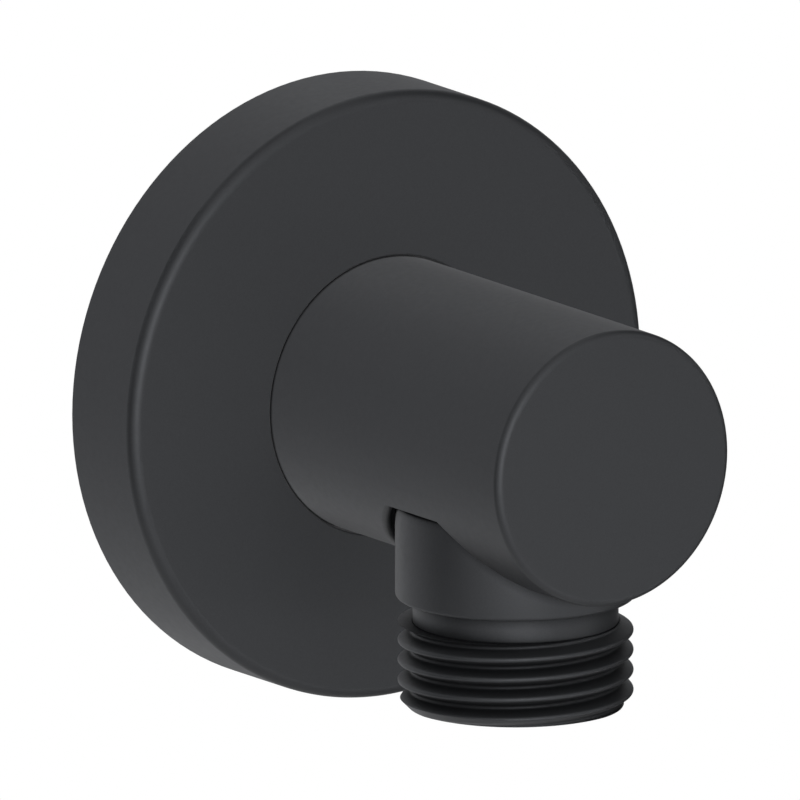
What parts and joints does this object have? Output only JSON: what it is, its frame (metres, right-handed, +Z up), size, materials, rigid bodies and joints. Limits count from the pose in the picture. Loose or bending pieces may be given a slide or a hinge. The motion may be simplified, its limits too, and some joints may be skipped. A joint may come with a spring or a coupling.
{
  "type": "shower hose wall outlet elbow",
  "caption": "Matt black round wall outlet for a shower hose: slip-on disc rosette, short bar body and a threaded hose nipple pointing down, with a spring-loaded check valve inside.",
  "frame": {"origin": "centre of the wall connection, in the wall plane, on the body's axis", "axes": "+Y into the wall along the body's axis, -Y out into the room, +Z up, hose outlet along -Z"},
  "size_m": [0.055, 0.058, 0.055],
  "materials": {
    "matt_black": "matt powder coat",
    "brass": "turned",
    "seal_rubber": "matt",
    "valve_plastic": "moulded",
    "steel": "drawn"
  },
  "bodies": {
    "body": {"elbow_body": "matt_black", "wall_nipple": "brass", "spigot_seal_front": "seal_rubber", "spigot_seal_rear": "seal_rubber", "grub_screw": "steel", "outlet_nipple": "matt_black", "outlet_seal": "seal_rubber", "valve_housing": "valve_plastic", "cartridge_seal": "seal_rubber", "valve_guide": "valve_plastic", "valve_spring": "steel"},
    "cover": {"rosette": "matt_black", "rosette_grip_ring": "seal_rubber", "wall_seal": "seal_rubber"},
    "poppet": {"valve_poppet": "valve_plastic", "poppet_seal": "seal_rubber"}
  },
  "joints": [
    {"name": "rosette_slide", "type": "slide", "parent": "body", "child": "cover", "axis": [0, -1, 0], "range_m": [0, 0.009]},
    {"name": "check_valve_lift", "type": "slide", "parent": "body", "child": "poppet", "axis": [0, 0, -1], "range_m": [0, 0.003], "stiffness_N_per_m": 50, "springref_m": -0.002, "deforming": ["valve_spring"]}
  ]
}
